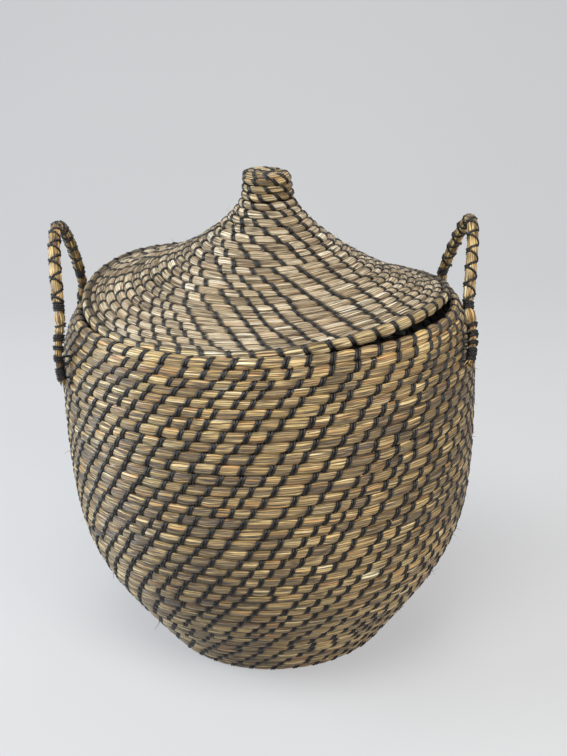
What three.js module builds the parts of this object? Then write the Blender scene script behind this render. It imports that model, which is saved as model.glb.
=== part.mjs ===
import * as THREE from 'three';

// Lidded storage basket: one coil of seagrass wound up from a flat base, a
// coiled hat-shaped lid with a knob, and two loop handles lashed to the wall.
// Millimetres, +Z up, the base on z = 0, the front toward -Y.

// Coil sizes
const ringSegments = 36;
const wallPitch = 11;
const wallThickness = 9.6;
const wallRidge = 2.9;
const lidPitch = 10;
const lidThickness = 8.4;
const lidRidge = 2.5;
const knobPitch = 7.2;
const knobThickness = 6;
const knobSegments = 18;
const seamGap = 0.3;

// Body outline, outside of the courses
const footRadius = 125;
const bellyRadius = 220;
const bellyHeight = 275;
const rimRadius = 199.5;
const rimHeight = 378;
const flareRadius = 205;
const flareHeight = 112;
const rimCurl = 25;
const baseThickness = 9.5;

// Lid outline above the rim
const lidSeatAngle = THREE.MathUtils.degToRad(14);
const coneRise = 108;
const knobRadius = 27.2;
const knobTopRadius = 25.3;
const knobBarrel = 17;
const knobCrown = 10;
const knobLean = 0.05;
const frontLift = 15;
const frontLiftAzimuth = THREE.MathUtils.degToRad(-30);
const backLift = 28;
const backLiftAzimuth = THREE.MathUtils.degToRad(139);
const lidSag = 3.4;
const lidSagAzimuth = THREE.MathUtils.degToRad(150);
const knobShift = 7;

// Handles
const handleCoreRadius = 3.6;
const leftTurn = THREE.MathUtils.degToRad(-0.8);
const rightTurn = THREE.MathUtils.degToRad(2.2);
const leftFootSpread = THREE.MathUtils.degToRad(22.4);
const rightFootSpread = THREE.MathUtils.degToRad(28.1);
const leftRimSpread = THREE.MathUtils.degToRad(20.9);
const rightRimSpread = THREE.MathUtils.degToRad(19.9);
const leftRimGap = 8.8;
const rightRimGap = 1.6;
const leftLegDrop = 50;
const rightLegDrop = 40;
const leftApexRise = 83;
const rightApexRise = 74.6;
const leftApexReach = 214.2;
const rightApexReach = 216.4;
const leftShoulder = 47;
const rightShoulder = 29.4;
const archSpring = 16;
const legTail = 5;
const legGap = 0.9;
const legBow = 2.5;
const cordGap = 0.4;
const lashingCordRadius = 1.3;
const lashingSpacing = 2.2;
const cordEndGap = 0.7;
const bindingCordRadius = 0.8;
const bindingPitch = 18.5;
const stepsPerTurn = 8;

const straw = new THREE.MeshStandardMaterial({ color: 0x8f7b55, roughness: 0.82, metalness: 0 });
const paleStraw = new THREE.MeshStandardMaterial({ color: 0x93836a, roughness: 0.86, metalness: 0 });
const blackCord = new THREE.MeshStandardMaterial({ color: 0x17140f, roughness: 0.55, metalness: 0 });

// A meridian is a chain of flat curves in (radius, height), walked upward with
// the outside on its right hand.
function meridian(curves) {
  const path = new THREE.CurvePath();
  curves.forEach((curve) => path.add(curve));
  const samples = path.getSpacedPoints(600);
  const length = path.getLength();
  const at = (distance) => {
    const place = THREE.MathUtils.clamp(distance / length, 0, 1) * 600;
    const low = Math.min(Math.floor(place), 599);
    const point = samples[low].clone().lerp(samples[low + 1], place - low);
    const along = samples[low + 1].clone().sub(samples[low]).normalize();
    return { point, outward: new THREE.Vector2(along.y, -along.x), along };
  };
  const distanceAt = (height) => {
    const above = samples.findIndex((sample) => sample.y >= height);
    return (length * (above < 0 ? 600 : above)) / 600;
  };
  return { at, length, distanceAt };
}

function flat(radius, height) {
  return new THREE.Vector2(radius, height);
}

// Corners of a ring of facets lie as far outside the round as the middles of the
// facets lie inside it.
function cornerReach(segments) {
  return 1 / Math.sqrt(Math.cos(Math.PI / segments));
}

// The lid has warped in use: its edge stands up at the front right and, more, at
// the back left, its right flank sags, and the knob has moved over to the right
// and leans back a little.
function lidWarp(x, y, z) {
  const reach = Math.hypot(x, y) / lidEdgeRadius;
  const inward = Math.max(0, 1 - reach);
  const azimuth = Math.atan2(y, x);
  const front = frontLift * Math.max(0, Math.cos(azimuth - frontLiftAzimuth)) ** 3;
  const back = backLift * Math.max(0, Math.cos(azimuth - backLiftAzimuth)) ** 2;
  const sag = 4 * lidSag * reach * inward * Math.cos(azimuth - lidSagAzimuth);
  const lean = knobLean * Math.max(0, z - rimHeight - 0.85 * coneRise);
  return { shift: knobShift * inward - lean, lift: (front + back) * reach * reach + sag };
}

function noWarp() {
  return { shift: 0, lift: 0 };
}

function closedGeometry(positions, faces) {
  const geometry = new THREE.BufferGeometry();
  geometry.setAttribute('position', new THREE.Float32BufferAttribute(positions, 3));
  geometry.setIndex(faces);
  geometry.computeVertexNormals();
  return geometry;
}

// A wall of courses wound as a screw: ridges climb one pitch a turn and run out
// at level ends. A wall that reaches the axis closes there.
function coiledWall(line, from, to, size) {
  const { pitch, thickness, ridge, segments, innerSpans, closed, bend = noWarp } = size;
  const positions = [];
  const faces = [];
  const known = new Map();
  const grow = cornerReach(segments);
  const vertex = (column, distance, depth, side) => {
    const wrapped = column % segments;
    const { point, outward } = line.at(distance);
    const radius = grow * Math.max(0, point.x - outward.x * depth);
    const onAxis = closed && distance >= to;
    const key = onAxis ? side : `${side} ${wrapped} ${distance.toFixed(4)}`;
    if (!known.has(key)) {
      const azimuth = (2 * Math.PI * wrapped) / segments;
      const x = onAxis ? 0 : radius * Math.cos(azimuth);
      const y = onAxis ? 0 : radius * Math.sin(azimuth);
      const z = point.y - outward.y * depth;
      known.set(key, positions.length / 3);
      const { shift, lift } = bend(x, y, z);
      positions.push(x + shift, y, z + lift);
    }
    return known.get(key);
  };
  const triangle = (a, b, c) => {
    if (a !== b && b !== c && a !== c) faces.push(a, b, c);
  };
  const outer = (row, column) => {
    let distance = from + pitch * (row / 2 + column / segments);
    if (distance < from + 0.2 * pitch) distance = from;
    if (distance > to - 0.2 * pitch) distance = to;
    const isEnd = distance === from || distance === to;
    return vertex(column, distance, isEnd || row % 2 === 0 ? ridge : 0, 'out');
  };
  const inner = (span, column) => {
    const distance = span === innerSpans ? to : from + ((to - from) * span) / innerSpans;
    return vertex(column, distance, thickness, 'in');
  };
  const firstRow = -3;
  const lastRow = Math.ceil((2 * (to - from)) / pitch) + 1;
  for (let column = 0; column < segments; column += 1) {
    const next = column + 1;
    for (let row = firstRow; row < lastRow; row += 1) {
      triangle(outer(row, column), outer(row, next), outer(row + 1, next));
      triangle(outer(row, column), outer(row + 1, next), outer(row + 1, column));
    }
    for (let span = 0; span < innerSpans; span += 1) {
      triangle(inner(span, column), inner(span + 1, next), inner(span, next));
      triangle(inner(span, column), inner(span + 1, column), inner(span + 1, next));
    }
    triangle(outer(firstRow, column), inner(0, column), inner(0, next));
    triangle(outer(firstRow, column), inner(0, next), outer(firstRow, next));
    if (!closed) {
      triangle(outer(lastRow, column), inner(innerSpans, next), inner(innerSpans, column));
      triangle(outer(lastRow, column), outer(lastRow, next), inner(innerSpans, next));
    }
  }
  return closedGeometry(positions, faces);
}

// One level course with a round section
function coilRing(radius, height, coilRadius, bend = noWarp) {
  const sides = 8;
  const positions = [];
  const faces = [];
  for (let column = 0; column < ringSegments; column += 1) {
    const azimuth = (2 * Math.PI * column) / ringSegments;
    for (let side = 0; side < sides; side += 1) {
      const turn = (2 * Math.PI * side) / sides;
      const reach = cornerReach(ringSegments) * (radius + coilRadius * Math.cos(turn));
      const x = reach * Math.cos(azimuth);
      const y = reach * Math.sin(azimuth);
      const z = height + coilRadius * Math.sin(turn);
      const { shift, lift } = bend(x, y, z);
      positions.push(x + shift, y, z + lift);
      const a = column * sides + side;
      const b = column * sides + ((side + 1) % sides);
      const c = ((column + 1) % ringSegments) * sides + ((side + 1) % sides);
      const d = ((column + 1) % ringSegments) * sides + side;
      faces.push(a, d, c, a, c, b);
    }
  }
  return closedGeometry(positions, faces);
}

function tube(points, radius, sides, steps) {
  const path = new THREE.CatmullRomCurve3(points, false, 'centripetal');
  const section = new THREE.Shape();
  for (let side = 0; side < sides; side += 1) {
    const turn = (2 * Math.PI * side) / sides;
    const x = radius * Math.cos(turn);
    const y = radius * Math.sin(turn);
    if (side === 0) section.moveTo(x, y);
    else section.lineTo(x, y);
  }
  section.closePath();
  return new THREE.ExtrudeGeometry(section, { steps, extrudePath: path, bevelEnabled: false });
}

// Least clear distance between stretches of one winding that are apart along it
function leastGap(points, radius) {
  const path = new THREE.CatmullRomCurve3(points, false, 'centripetal');
  const count = points.length * 3;
  const samples = path.getSpacedPoints(count);
  const apart = Math.ceil((count * radius * 6) / path.getLength());
  let least = Infinity;
  for (let i = 0; i < count; i += 1) {
    for (let j = i + apart; j <= count; j += 1) {
      least = Math.min(least, samples[i].distanceTo(samples[j]));
    }
  }
  return least - 2 * radius;
}

const part = new THREE.Group();
part.name = 'lidded_storage_basket';

function addPiece(name, geometry, material) {
  const mesh = new THREE.Mesh(geometry, material);
  mesh.name = name;
  part.add(mesh);
}

// Body
const wallLine = meridian([
  new THREE.CubicBezierCurve(
    flat(footRadius, 0),
    flat(flareRadius, flareHeight),
    flat(bellyRadius, flareHeight + 8),
    flat(bellyRadius, bellyHeight),
  ),
  new THREE.CubicBezierCurve(
    flat(bellyRadius, bellyHeight),
    flat(bellyRadius, bellyHeight + 0.58 * (rimHeight - bellyHeight)),
    flat(THREE.MathUtils.lerp(rimRadius, bellyRadius, 0.83), rimHeight - rimCurl),
    flat(rimRadius, rimHeight),
  ),
]);
const wallEnd = wallLine.length - wallPitch;
addPiece('wall_coil', coiledWall(wallLine, 0, wallEnd, {
  pitch: wallPitch,
  thickness: wallThickness,
  ridge: wallRidge,
  segments: ringSegments,
  innerSpans: 10,
}), straw);

// The base's edge follows the slope of the wall's first course.
const foot = wallLine.at(0);
const footInner = foot.point.clone()
  .addScaledVector(foot.outward, -wallThickness)
  .addScaledVector(foot.along, -seamGap);
const floorInset = (seamGap * foot.along.y) / -foot.outward.y;
const floorReach = foot.point.x - foot.outward.x * floorInset - foot.along.x * seamGap;
const baseSection = [
  flat(0, 0),
  flat(floorReach, 0),
  footInner,
  flat(footInner.x, baseThickness),
  flat(0, baseThickness),
];
const baseGrow = cornerReach(ringSegments);
const baseShape = new THREE.LatheGeometry(baseSection, ringSegments);
addPiece('base_coil', baseShape.rotateX(Math.PI / 2).scale(baseGrow, baseGrow, 1), straw);

const rimPlace = wallLine.at(wallLine.length - wallPitch / 2);
const rimCentre = rimPlace.point.clone().addScaledVector(rimPlace.outward, -wallThickness / 2);
const rimCoilRadius = wallPitch / 2 - seamGap;
addPiece('rim_coil', coilRing(rimCentre.x, rimCentre.y, rimCoilRadius), straw);

// Lid: its edge course sits on the inner shoulder of the rim course.
const lidCoilRadius = lidPitch / 2;
const seatReach = rimCoilRadius + lidCoilRadius + seamGap;
const lidEdgeRadius = rimCentre.x - seatReach * Math.cos(lidSeatAngle);
const lidEdgeHeight = rimCentre.y + seatReach * Math.sin(lidSeatAngle);
const knobFoot = rimHeight + coneRise;
const knobShoulder = knobFoot + knobBarrel;
const knobTop = knobShoulder + knobCrown;
const coneLine = meridian([
  new THREE.CubicBezierCurve(
    flat(lidEdgeRadius + 0.16 * lidThickness, lidEdgeHeight + 0.474 * lidThickness),
    flat(0.696 * lidEdgeRadius, rimHeight + 0.186 * coneRise),
    flat(1.635 * knobRadius, rimHeight + 0.644 * coneRise),
    flat(knobRadius, knobFoot - seamGap),
  ),
]);
const knobLine = meridian([
  new THREE.LineCurve(flat(knobRadius, knobFoot - 2 * seamGap), flat(knobTopRadius, knobShoulder)),
  new THREE.CubicBezierCurve(
    flat(knobTopRadius, knobShoulder),
    flat(0.98 * knobTopRadius, knobShoulder + 0.65 * knobCrown),
    flat(0.74 * knobTopRadius, knobTop),
    flat(0, knobTop),
  ),
]);
addPiece('lid_edge_coil', coilRing(lidEdgeRadius, lidEdgeHeight, lidCoilRadius, lidWarp), paleStraw);
addPiece('lid_cone_coil', coiledWall(coneLine, lidCoilRadius + seamGap, coneLine.length, {
  pitch: lidPitch,
  thickness: lidThickness,
  ridge: lidRidge,
  segments: ringSegments,
  innerSpans: 6,
  bend: lidWarp,
}), paleStraw);
addPiece('lid_knob_coil', coiledWall(knobLine, 0, knobLine.length, {
  pitch: knobPitch,
  thickness: knobThickness,
  ridge: lidRidge,
  segments: knobSegments,
  innerSpans: 4,
  closed: true,
  bend: lidWarp,
}), paleStraw);

// Handles: each is a bent bundle whose legs run down the wall, spreading as they
// go, and are lashed to it. Two crossing cords bind the open loop.
const facetSpread = 1 / Math.cos(Math.PI / stepsPerTurn);
const lashingRadius = facetSpread * (handleCoreRadius + seamGap + lashingCordRadius);
const legStandoff = lashingRadius + lashingCordRadius + legGap;
const lashingPitch = 2 * lashingCordRadius + lashingSpacing;
const rimReach = rimCentre.x + rimCoilRadius;
const innerBindingRadius = facetSpread * (handleCoreRadius + seamGap + bindingCordRadius);
const outerBindingRadius = facetSpread * (innerBindingRadius + 2 * bindingCordRadius + cordGap);

function handleLine(shape) {
  const { side, turn, footSpread, rimSpread, rimGap, legDrop, apexRise, apexReach, shoulder } = shape;
  const place = (azimuth, reach, height) => new THREE.Vector3(
    side * reach * Math.cos(azimuth),
    reach * Math.sin(azimuth),
    height,
  );
  const legPoint = (legSide, share) => {
    const spread = THREE.MathUtils.lerp(footSpread, rimSpread, share);
    const bow = 4 * legBow * share * (1 - share);
    const reach = THREE.MathUtils.lerp(footReach, rimReach + rimGap, share) + bow + legStandoff;
    return place(turn + legSide * spread, reach, rimHeight - legDrop * (1 - share));
  };
  const footReach = wallLine.at(wallLine.distanceAt(rimHeight - legDrop)).point.x;
  const apex = place(turn, apexReach, rimHeight + apexRise);
  const across = place(turn, 1, 0);
  const sideways = place(turn + Math.PI / 2, 1, 0);
  const half = (legSide) => {
    const leg = [0, 0.25, 0.5, 0.75, 1].map((share) => legPoint(legSide, share));
    const arch = new THREE.CubicBezierCurve3(
      leg[4],
      leg[4].clone().sub(leg[0]).setLength(archSpring).add(leg[4]),
      apex.clone().addScaledVector(sideways, legSide * shoulder),
      apex,
    );
    return [...leg, ...arch.getPoints(6).slice(1)];
  };
  const points = [...half(-1), ...half(1).slice(0, -1).reverse()];
  const curve = new THREE.CatmullRomCurve3(points, false, 'centripetal');
  const length = curve.getLength();
  const legLength = curve.getLengths(200)[(200 * 4) / (points.length - 1)];
  const onLeg = (legSide, distance) => {
    const share = legSide < 0 ? distance / length : 1 - distance / length;
    return { point: curve.getPointAt(share), along: curve.getTangentAt(share).multiplyScalar(-legSide) };
  };
  return { points, curve, length, across, onLeg, lashingTop: legLength - rimCoilRadius };
}

// Outside of the wall's facets and ridges, or of the rim course above them
function bodyRadius(azimuth, height) {
  const facet = (2 * Math.PI) / ringSegments;
  const within = THREE.MathUtils.euclideanModulo(azimuth, facet) - facet / 2;
  const flatten = (cornerReach(ringSegments) * Math.cos(facet / 2)) / Math.cos(within);
  const distance = wallLine.distanceAt(height);
  if (distance > wallEnd) return flatten * rimReach;
  const course = THREE.MathUtils.euclideanModulo(distance / wallPitch - azimuth / (2 * Math.PI), 1);
  return flatten * (wallLine.at(distance).point.x - wallRidge * Math.abs(2 * course - 1));
}

function cordEndAtBody(point, outward) {
  const end = point.clone();
  for (let pass = 0; pass < 4; pass += 1) {
    const azimuth = Math.atan2(end.y, end.x);
    const faced = [-1, 0, 1].map((edge) => bodyRadius(azimuth, end.z + edge * lashingCordRadius));
    end.addScaledVector(outward, Math.max(...faced) + cordEndGap - Math.hypot(end.x, end.y));
  }
  return end;
}

// Close turns of cord round one leg, up to the rim; both ends run straight in
// to the body.
function lashing(handle, legSide) {
  const points = [];
  const turns = Math.floor((handle.lashingTop - legTail) / lashingPitch - 0.5);
  const steps = turns * stepsPerTurn + stepsPerTurn / 2;
  for (let step = 0; step <= steps; step += 1) {
    const turn = (2 * Math.PI * step) / stepsPerTurn - Math.PI / 2;
    const distance = handle.lashingTop - (lashingPitch * (steps - step)) / stepsPerTurn;
    const { point, along } = handle.onLeg(legSide, distance);
    const outward = new THREE.Vector3(point.x, point.y, 0).normalize();
    const around = new THREE.Vector3().crossVectors(along, outward).normalize();
    const facing = new THREE.Vector3().crossVectors(around, along);
    point.addScaledVector(facing, lashingRadius * Math.cos(turn))
      .addScaledVector(around, lashingRadius * Math.sin(turn));
    const end = cordEndAtBody(point, facing);
    const halfway = point.clone().lerp(end, 0.5);
    if (step === 0) points.push(end, halfway);
    points.push(point);
    if (step === steps) points.push(halfway, end);
  }
  return points;
}

// One cord wound along the open loop between the lashings
function binding(handle, direction, radius) {
  const margin = handle.lashingTop + 1.5 * lashingPitch;
  const wound = handle.length - 2 * margin;
  const steps = Math.round((wound / bindingPitch) * stepsPerTurn);
  const points = [];
  for (let step = 0; step <= steps; step += 1) {
    const share = (margin + (wound * step) / steps) / handle.length;
    const along = handle.curve.getTangentAt(share);
    const beside = new THREE.Vector3().crossVectors(handle.across, along).normalize();
    const facing = new THREE.Vector3().crossVectors(along, beside);
    const turn = (direction * 2 * Math.PI * wound * step) / (steps * bindingPitch);
    points.push(handle.curve.getPointAt(share)
      .addScaledVector(facing, radius * Math.cos(turn))
      .addScaledVector(beside, radius * Math.sin(turn)));
  }
  const first = points[0].clone().sub(points[1]).setLength(2 * bindingCordRadius);
  const last = points.at(-1).clone().sub(points.at(-2)).setLength(2 * bindingCordRadius);
  points.unshift(points[0].clone().add(first));
  points.push(points.at(-1).clone().add(last));
  return points;
}

function addWinding(name, points, radius) {
  addPiece(name, tube(points, radius, 5, points.length - 1), blackCord);
  console.log(name, 'least gap to itself', leastGap(points, radius).toFixed(2), 'mm');
}

const handles = {
  left: {
    side: -1,
    turn: leftTurn,
    footSpread: leftFootSpread,
    rimSpread: leftRimSpread,
    rimGap: leftRimGap,
    legDrop: leftLegDrop,
    apexRise: leftApexRise,
    apexReach: leftApexReach,
    shoulder: leftShoulder,
  },
  right: {
    side: 1,
    turn: rightTurn,
    footSpread: rightFootSpread,
    rimSpread: rightRimSpread,
    rimGap: rightRimGap,
    legDrop: rightLegDrop,
    apexRise: rightApexRise,
    apexReach: rightApexReach,
    shoulder: rightShoulder,
  },
};
Object.entries(handles).forEach(([sideName, shape]) => {
  const handle = handleLine(shape);
  addPiece(`handle_core_${sideName}`, tube(handle.points, handleCoreRadius, 8, 40), straw);
  addWinding(`handle_binding_inner_${sideName}`, binding(handle, 1, innerBindingRadius), bindingCordRadius);
  addWinding(`handle_binding_outer_${sideName}`, binding(handle, -1, outerBindingRadius), bindingCordRadius);
  addWinding(`front_lashing_${sideName}`, lashing(handle, -1), lashingCordRadius);
  addWinding(`rear_lashing_${sideName}`, lashing(handle, 1), lashingCordRadius);
});

export default part;
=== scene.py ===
import math

import bmesh
import bpy
import numpy as np
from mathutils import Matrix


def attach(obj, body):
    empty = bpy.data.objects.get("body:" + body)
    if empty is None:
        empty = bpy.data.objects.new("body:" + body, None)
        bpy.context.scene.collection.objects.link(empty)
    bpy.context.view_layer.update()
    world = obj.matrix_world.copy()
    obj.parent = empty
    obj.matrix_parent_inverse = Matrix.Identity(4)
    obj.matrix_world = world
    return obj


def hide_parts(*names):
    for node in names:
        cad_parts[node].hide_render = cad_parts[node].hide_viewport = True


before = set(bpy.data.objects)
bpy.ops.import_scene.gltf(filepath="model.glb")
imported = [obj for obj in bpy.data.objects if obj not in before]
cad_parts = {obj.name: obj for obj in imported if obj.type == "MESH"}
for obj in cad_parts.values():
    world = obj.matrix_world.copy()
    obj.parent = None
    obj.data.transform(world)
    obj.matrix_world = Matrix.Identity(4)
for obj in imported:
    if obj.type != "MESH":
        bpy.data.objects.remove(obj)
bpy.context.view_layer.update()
scene = bpy.context.scene
scene.view_settings.view_transform = "Standard"
chance = np.random.RandomState(11)
turn = 2 * math.pi
mm = 0.001
print("frame loaded, nodes:", len(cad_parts))

# camera fitted to the rim, the belly and the foot
cameraView = {
    "place": (0.01501, -1.15916, 0.69863), "down": 19.56, "roll": -1.82,
    "lens": 53.81, "sensor": 36, "near": 0.01,
}
bpy.ops.object.select_all(action="DESELECT")
bpy.ops.object.camera_add(location=cameraView["place"])
camera = bpy.context.active_object
camera.rotation_mode = "ZYX"
camera.rotation_euler = (math.radians(90 - cameraView["down"]), 0, math.radians(cameraView["roll"]))
camera.data.lens = cameraView["lens"]
camera.data.sensor_width = cameraView["sensor"]
camera.data.clip_start = cameraView["near"]
scene.camera = camera
print("camera set")


class Wire:
    def __init__(self, tree, socket=None):
        self.tree = tree
        self.socket = socket

    def node(self, kind, settings, inputs, output=0):
        made = self.tree.nodes.new("ShaderNode" + kind)
        for key, value in settings.items():
            if key == "stops":
                ramp = made.color_ramp.elements
                while len(ramp) < len(value):
                    ramp.new(0.5)
                for mark, (at, colour) in zip(ramp, value):
                    mark.position = at
                    mark.color = (*colour, 1)
            else:
                setattr(made, key, value)
        for key, value in inputs.items():
            if isinstance(value, Wire):
                self.tree.links.new(value.socket, made.inputs[key])
            else:
                made.inputs[key].default_value = value
        return Wire(self.tree, made.outputs[output])

    def maths(self, operation, left, right=0.0):
        return self.node("Math", {"operation": operation}, {0: left, 1: right})

    def __add__(self, other):
        return self.maths("ADD", self, other)

    __radd__ = __add__

    def __sub__(self, other):
        return self.maths("SUBTRACT", self, other)

    def __rsub__(self, other):
        return self.maths("SUBTRACT", other, self)

    def __mul__(self, other):
        return self.maths("MULTIPLY", self, other)

    __rmul__ = __mul__

    def above(self, least):  # 0 to 1 becomes least to 1
        return least + (1 - least) * self

    def clamp(self, low, high):  # a soft step from low to high, 0 to 1
        soft = {"interpolation_type": "SMOOTHSTEP"}
        return self.node("MapRange", soft, {0: self, 1: low, 2: high, 3: 0.0, 4: 1.0})

    def blend(self, first, second, kind="MIX"):
        settings = {"data_type": "RGBA", "blend_type": kind}
        return self.node("Mix", settings, {0: self, 6: first, 7: second}, 2)

    def stretch(self, by):
        return self.node("VectorMath", {"operation": "MULTIPLY"}, {0: self, 1: by})

    def split(self):
        parts = self.node("SeparateXYZ", {}, {0: self}).socket.node.outputs
        return [Wire(self.tree, part) for part in parts]

    def looked(self):  # 1 where the camera, a reflection or a see-through ray looks, 0 where light bounces
        rays = ["Is Camera Ray", "Is Glossy Ray", "Is Transmission Ray"]
        direct, glossy, through = [self.node("LightPath", {}, {}, ray) for ray in rays]
        return self.maths("MAXIMUM", self.maths("MAXIMUM", direct, glossy), through)

    def feed(self, shader, socket):
        self.tree.links.new(self.socket, shader.inputs[socket])


def paint(red, green, blue):  # screen colour, 0 to 255, to light
    return tuple(((v / 255 + 0.055) / 1.055) ** 2.4 if v > 10 else v / 255 / 12.92 for v in (red, green, blue))


def newMaterial(name):
    made = bpy.data.materials.new(name)
    made.use_nodes = True
    tree = made.node_tree
    return made, Wire(tree), tree.nodes["Principled BSDF"]


# what all the grass shares: scales along and across the strands, weights of the tones,
# the light that the painted shade leaves in each kind of hollow, and shares of the relief and the sheen
grassWeave = {
    "drift": (0.55, 1.0, 1), "streak": (0.7, 30, 1), "blotch": (1.1, 2.4, 1), "patch": 6.0,
    "broadAlong": 0.13, "thinAlong": 0.21, "thinPerBroad": 2.1, "grooveFrom": 0.01, "creaseTo": 0.13,
    "strandTone": 0.48, "thinTone": 0.32, "cellTone": 0.26, "streakTone": 0.32, "patchTone": 0.40,
    "green": (0.50, 0.95), "red": (0.68, 0.98), "grey": (0.45, 1.0),
    # biteFrom and valleyFrom start the painted shade near the stitches and between courses; inBite, inValley, inGroove
    # and inCrease are the light it leaves there, and the blotch is a random tone
    "biteFrom": 0.09, "valleyFrom": 0.54,
    "inBite": 0.34, "inValley": 0.16, "inGroove": 0.20, "inCrease": 0.60, "blotchFrom": 0.84, "blotchBy": 0.44,
    "shadeGreen": 0.90, "shadeBlue": 0.72,
    "grooveHigh": 0.9, "creaseHigh": 0.30, "streakHigh": 0.25, "strandHigh": 0.35, "bump": 0.0009,
    "rough": 0.56, "grooveSheen": 0.18, "strandSheen": 0.14, "streakRough": 0.16,
}


# seagrass: strands laid side by side, each with its own tone, with painted shade where the cord bites in, in the
# valleys between courses and in the grooves between strands
def grassMaterial(name, look):
    made, kit, shader = newMaterial(name)
    mix = grassWeave
    fibre = kit.node("UVMap", {"uv_map": "fibre"}, {})
    inCell, aroundCell, unused = kit.node("UVMap", {"uv_map": "weave"}, {}).split()
    cellTone, cellHue, unused = kit.node("UVMap", {"uv_map": "tone"}, {}).split()

    def noise(vector, output=0, **inputs):
        return kit.node("TexNoise", {"noise_dimensions": "2D"}, {"Vector": vector, "Scale": 1.0, **inputs}, output)

    def lanes(vector, feature, output):
        settings = {"voronoi_dimensions": "2D", "feature": feature}
        return kit.node("TexVoronoi", settings, {"Vector": vector, "Scale": 1.0}, output)

    drift = noise(fibre.stretch(mix["drift"]), 1, Detail=1.0)
    wavy = kit.node("VectorMath", {"operation": "MULTIPLY_ADD"}, {0: drift, 1: (0, look["waver"], 0), 2: fibre})
    broad = wavy.stretch((mix["broadAlong"], look["strands"], 1))
    thin = wavy.stretch((mix["thinAlong"], look["strands"] * mix["thinPerBroad"], 1))
    strandTone, strandGreen, strandRed = lanes(broad, "F1", 1).split()
    thinTone = lanes(thin, "F1", 1).split()[0]
    # groove and crease are the lines between the broad and the thin strands: bumped, and darkened with painted shade
    # below
    groove = lanes(broad, "DISTANCE_TO_EDGE", 0).clamp(mix["grooveFrom"], look["groove"])
    crease = lanes(thin, "DISTANCE_TO_EDGE", 0).clamp(0.0, mix["creaseTo"])
    streak = noise(wavy.stretch(mix["streak"]), Detail=3.0, Roughness=0.6)
    blotch = noise(fibre.stretch(mix["blotch"]), Detail=2.0)
    where = kit.node("TexCoord", {}, {}, 3)
    patch = kit.node("TexNoise", {}, {"Vector": where, "Scale": mix["patch"], "Detail": 2.0})

    level = strandTone * mix["strandTone"] + thinTone * mix["thinTone"] + cellTone * mix["cellTone"]
    level = level + streak * mix["streakTone"] + patch * mix["patchTone"] - look["depth"]
    colour = kit.node("ValToRGB", {"stops": look["stops"]}, {0: level})
    for word, source in (("green", strandGreen), ("red", strandRed), ("grey", cellHue)):
        amount = source.clamp(*mix[word]) * look[word + "Share"]
        colour = amount.blend(colour, (*look[word], 1), "MULTIPLY")

    # painted shade: darker where the cord bites in, in the valleys between courses and along the grooves and creases,
    # and warmer as it deepens; the blotch is a random tone
    bite = kit.maths("MINIMUM", inCell, 1 - inCell).clamp(mix["biteFrom"], look["biteWidth"])
    valley = kit.maths("ABSOLUTE", aroundCell).clamp(mix["valleyFrom"], look["valley"])
    shade = bite.above(mix["inBite"]) * valley.above(mix["inValley"]) * groove.above(mix["inGroove"])
    shade = shade * crease.above(mix["inCrease"]) * (mix["blotchFrom"] + mix["blotchBy"] * blotch)
    warmer = {0: shade, 1: shade * shade.above(mix["shadeGreen"]), 2: shade * shade.above(mix["shadeBlue"])}
    darken = kit.node("CombineXYZ", {}, warmer)
    colour = kit.node("VectorMath", {"operation": "MULTIPLY"}, {0: colour, 1: darken})

    height = groove * mix["grooveHigh"] + crease * mix["creaseHigh"]
    height = height + streak * mix["streakHigh"] + strandTone * mix["strandHigh"]
    bump = kit.node("Bump", {}, {"Strength": look["relief"], "Distance": mix["bump"], "Height": height})
    rough = mix["rough"] - mix["grooveSheen"] * groove - mix["strandSheen"] * strandTone
    colour.feed(shader, "Base Color")
    (rough + mix["streakRough"] * streak).feed(shader, "Roughness")
    bump.feed(shader, "Normal")
    shader.inputs["Specular IOR Level"].default_value = look["gloss"]
    return made


toneMarks = (0.0, 0.24, 0.46, 0.66, 0.84, 1.0)


def tones(*shades):  # from the darkest strands to the palest
    return [(at, paint(*shade)) for at, shade in zip(toneMarks, shades)]


# biteWidth, valley and groove set how far the painted shade reaches from the stitches, into the valleys between courses
# and across the strands; on the lid it reaches further from the valleys
bodyGrass = {
    "strands": 5.4, "waver": 0.10, "groove": 0.18, "biteWidth": 0.20, "valley": 0.29,
    "relief": 0.9, "gloss": 0.9, "depth": 0.44,
    "stops": tones((70, 53, 32), (124, 101, 62), (175, 145, 91), (218, 185, 120), (245, 220, 163), (255, 248, 224)),
    "green": (0.86, 0.88, 0.62), "greenShare": 0.4,
    "red": (0.92, 0.66, 0.44), "redShare": 0.8,
    "grey": (0.80, 0.83, 0.92), "greyShare": 0.6,
}
lidGrass = dict(
    bodyGrass, strands=6.4, depth=0.35, valley=0.19, gloss=0.5, greenShare=0.2, redShare=0.4, greyShare=0.3,
    stops=tones((92, 75, 54), (146, 126, 96), (190, 169, 135), (222, 203, 170), (243, 229, 201), (255, 250, 232)))
edgeGrass = dict(
    lidGrass, strands=5.8, depth=0.27, redShare=0.5,
    stops=tones((90, 71, 46), (146, 123, 84), (196, 171, 122), (230, 206, 156), (246, 231, 192), (255, 250, 228)))
knobGrass = dict(edgeGrass, strands=6.4, depth=0.45, redShare=0.8)
handleGrass = dict(bodyGrass, strands=4.6, depth=0.39, greenShare=0.2, gloss=0.5)
seagrass = grassMaterial("seagrass", bodyGrass)
paleSeagrass = grassMaterial("pale seagrass", lidGrass)
edgeSeagrass = grassMaterial("edge seagrass", edgeGrass)
knobSeagrass = grassMaterial("knob seagrass", knobGrass)
handleSeagrass = grassMaterial("handle seagrass", handleGrass)

# black cord: waxed yarn, twisted, with fine lint
cordLook = {
    "dark": paint(12, 10, 9), "worn": paint(38, 32, 26), "rough": 0.20, "gloss": 0.4,
    "lint": 900.0, "wear": 70.0, "wearShare": 0.5, "lintShare": 0.3, "wearRough": 0.18, "lintRough": 0.10,
    "wearFrom": (0.45, 0.75), "lintFrom": (0.55, 0.8),
    "plies": 2, "lay": 5, "ridge": 0.35, "relief": 0.22, "bump": 0.0003,
}


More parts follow.
